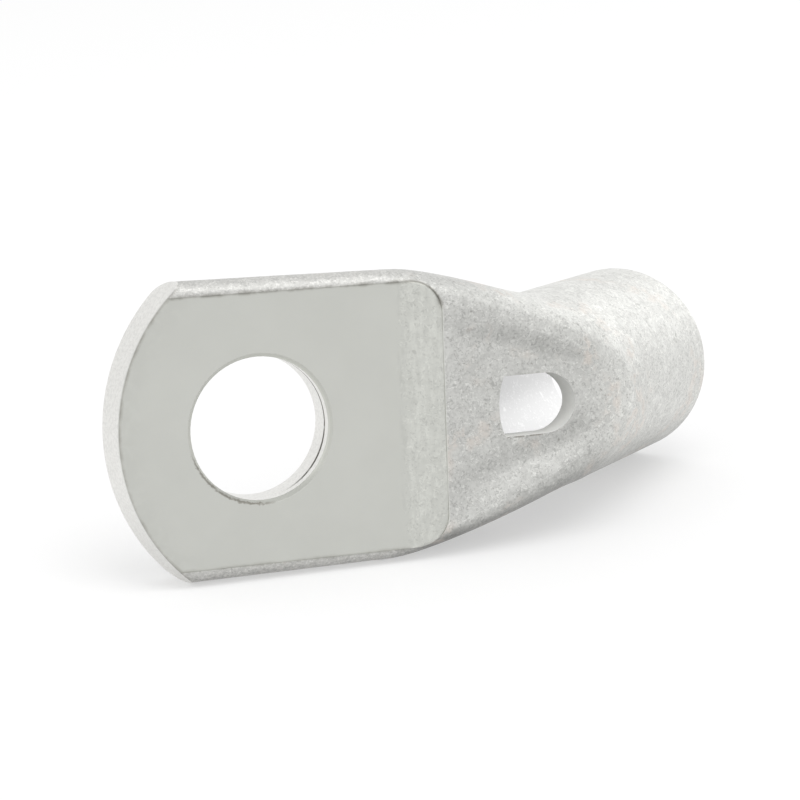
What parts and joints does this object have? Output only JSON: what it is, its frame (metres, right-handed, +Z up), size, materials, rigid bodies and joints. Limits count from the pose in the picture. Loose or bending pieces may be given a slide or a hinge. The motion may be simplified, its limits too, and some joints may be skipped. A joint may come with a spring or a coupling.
{
  "type": "earthing lug",
  "caption": "Angled tin-plated copper tube lug with a flat stud palm, a drawn-down throat with a sight hole and an open round barrel for crimping onto a cable.",
  "frame": {"origin": "centre of the bounding box's underside, on the ground", "axes": "+X along the palm from its tip towards the barrel, +Y away from the contact face's side and towards the barrel's mouth, +Z up, with the lug lying on its side as it comes to rest"},
  "size_m": [0.0672, 0.0334, 0.027],
  "materials": {
    "tinned_copper": "satin"
  },
  "bodies": {
    "root": {"lug_body": "tinned_copper"}
  },
  "joints": []
}
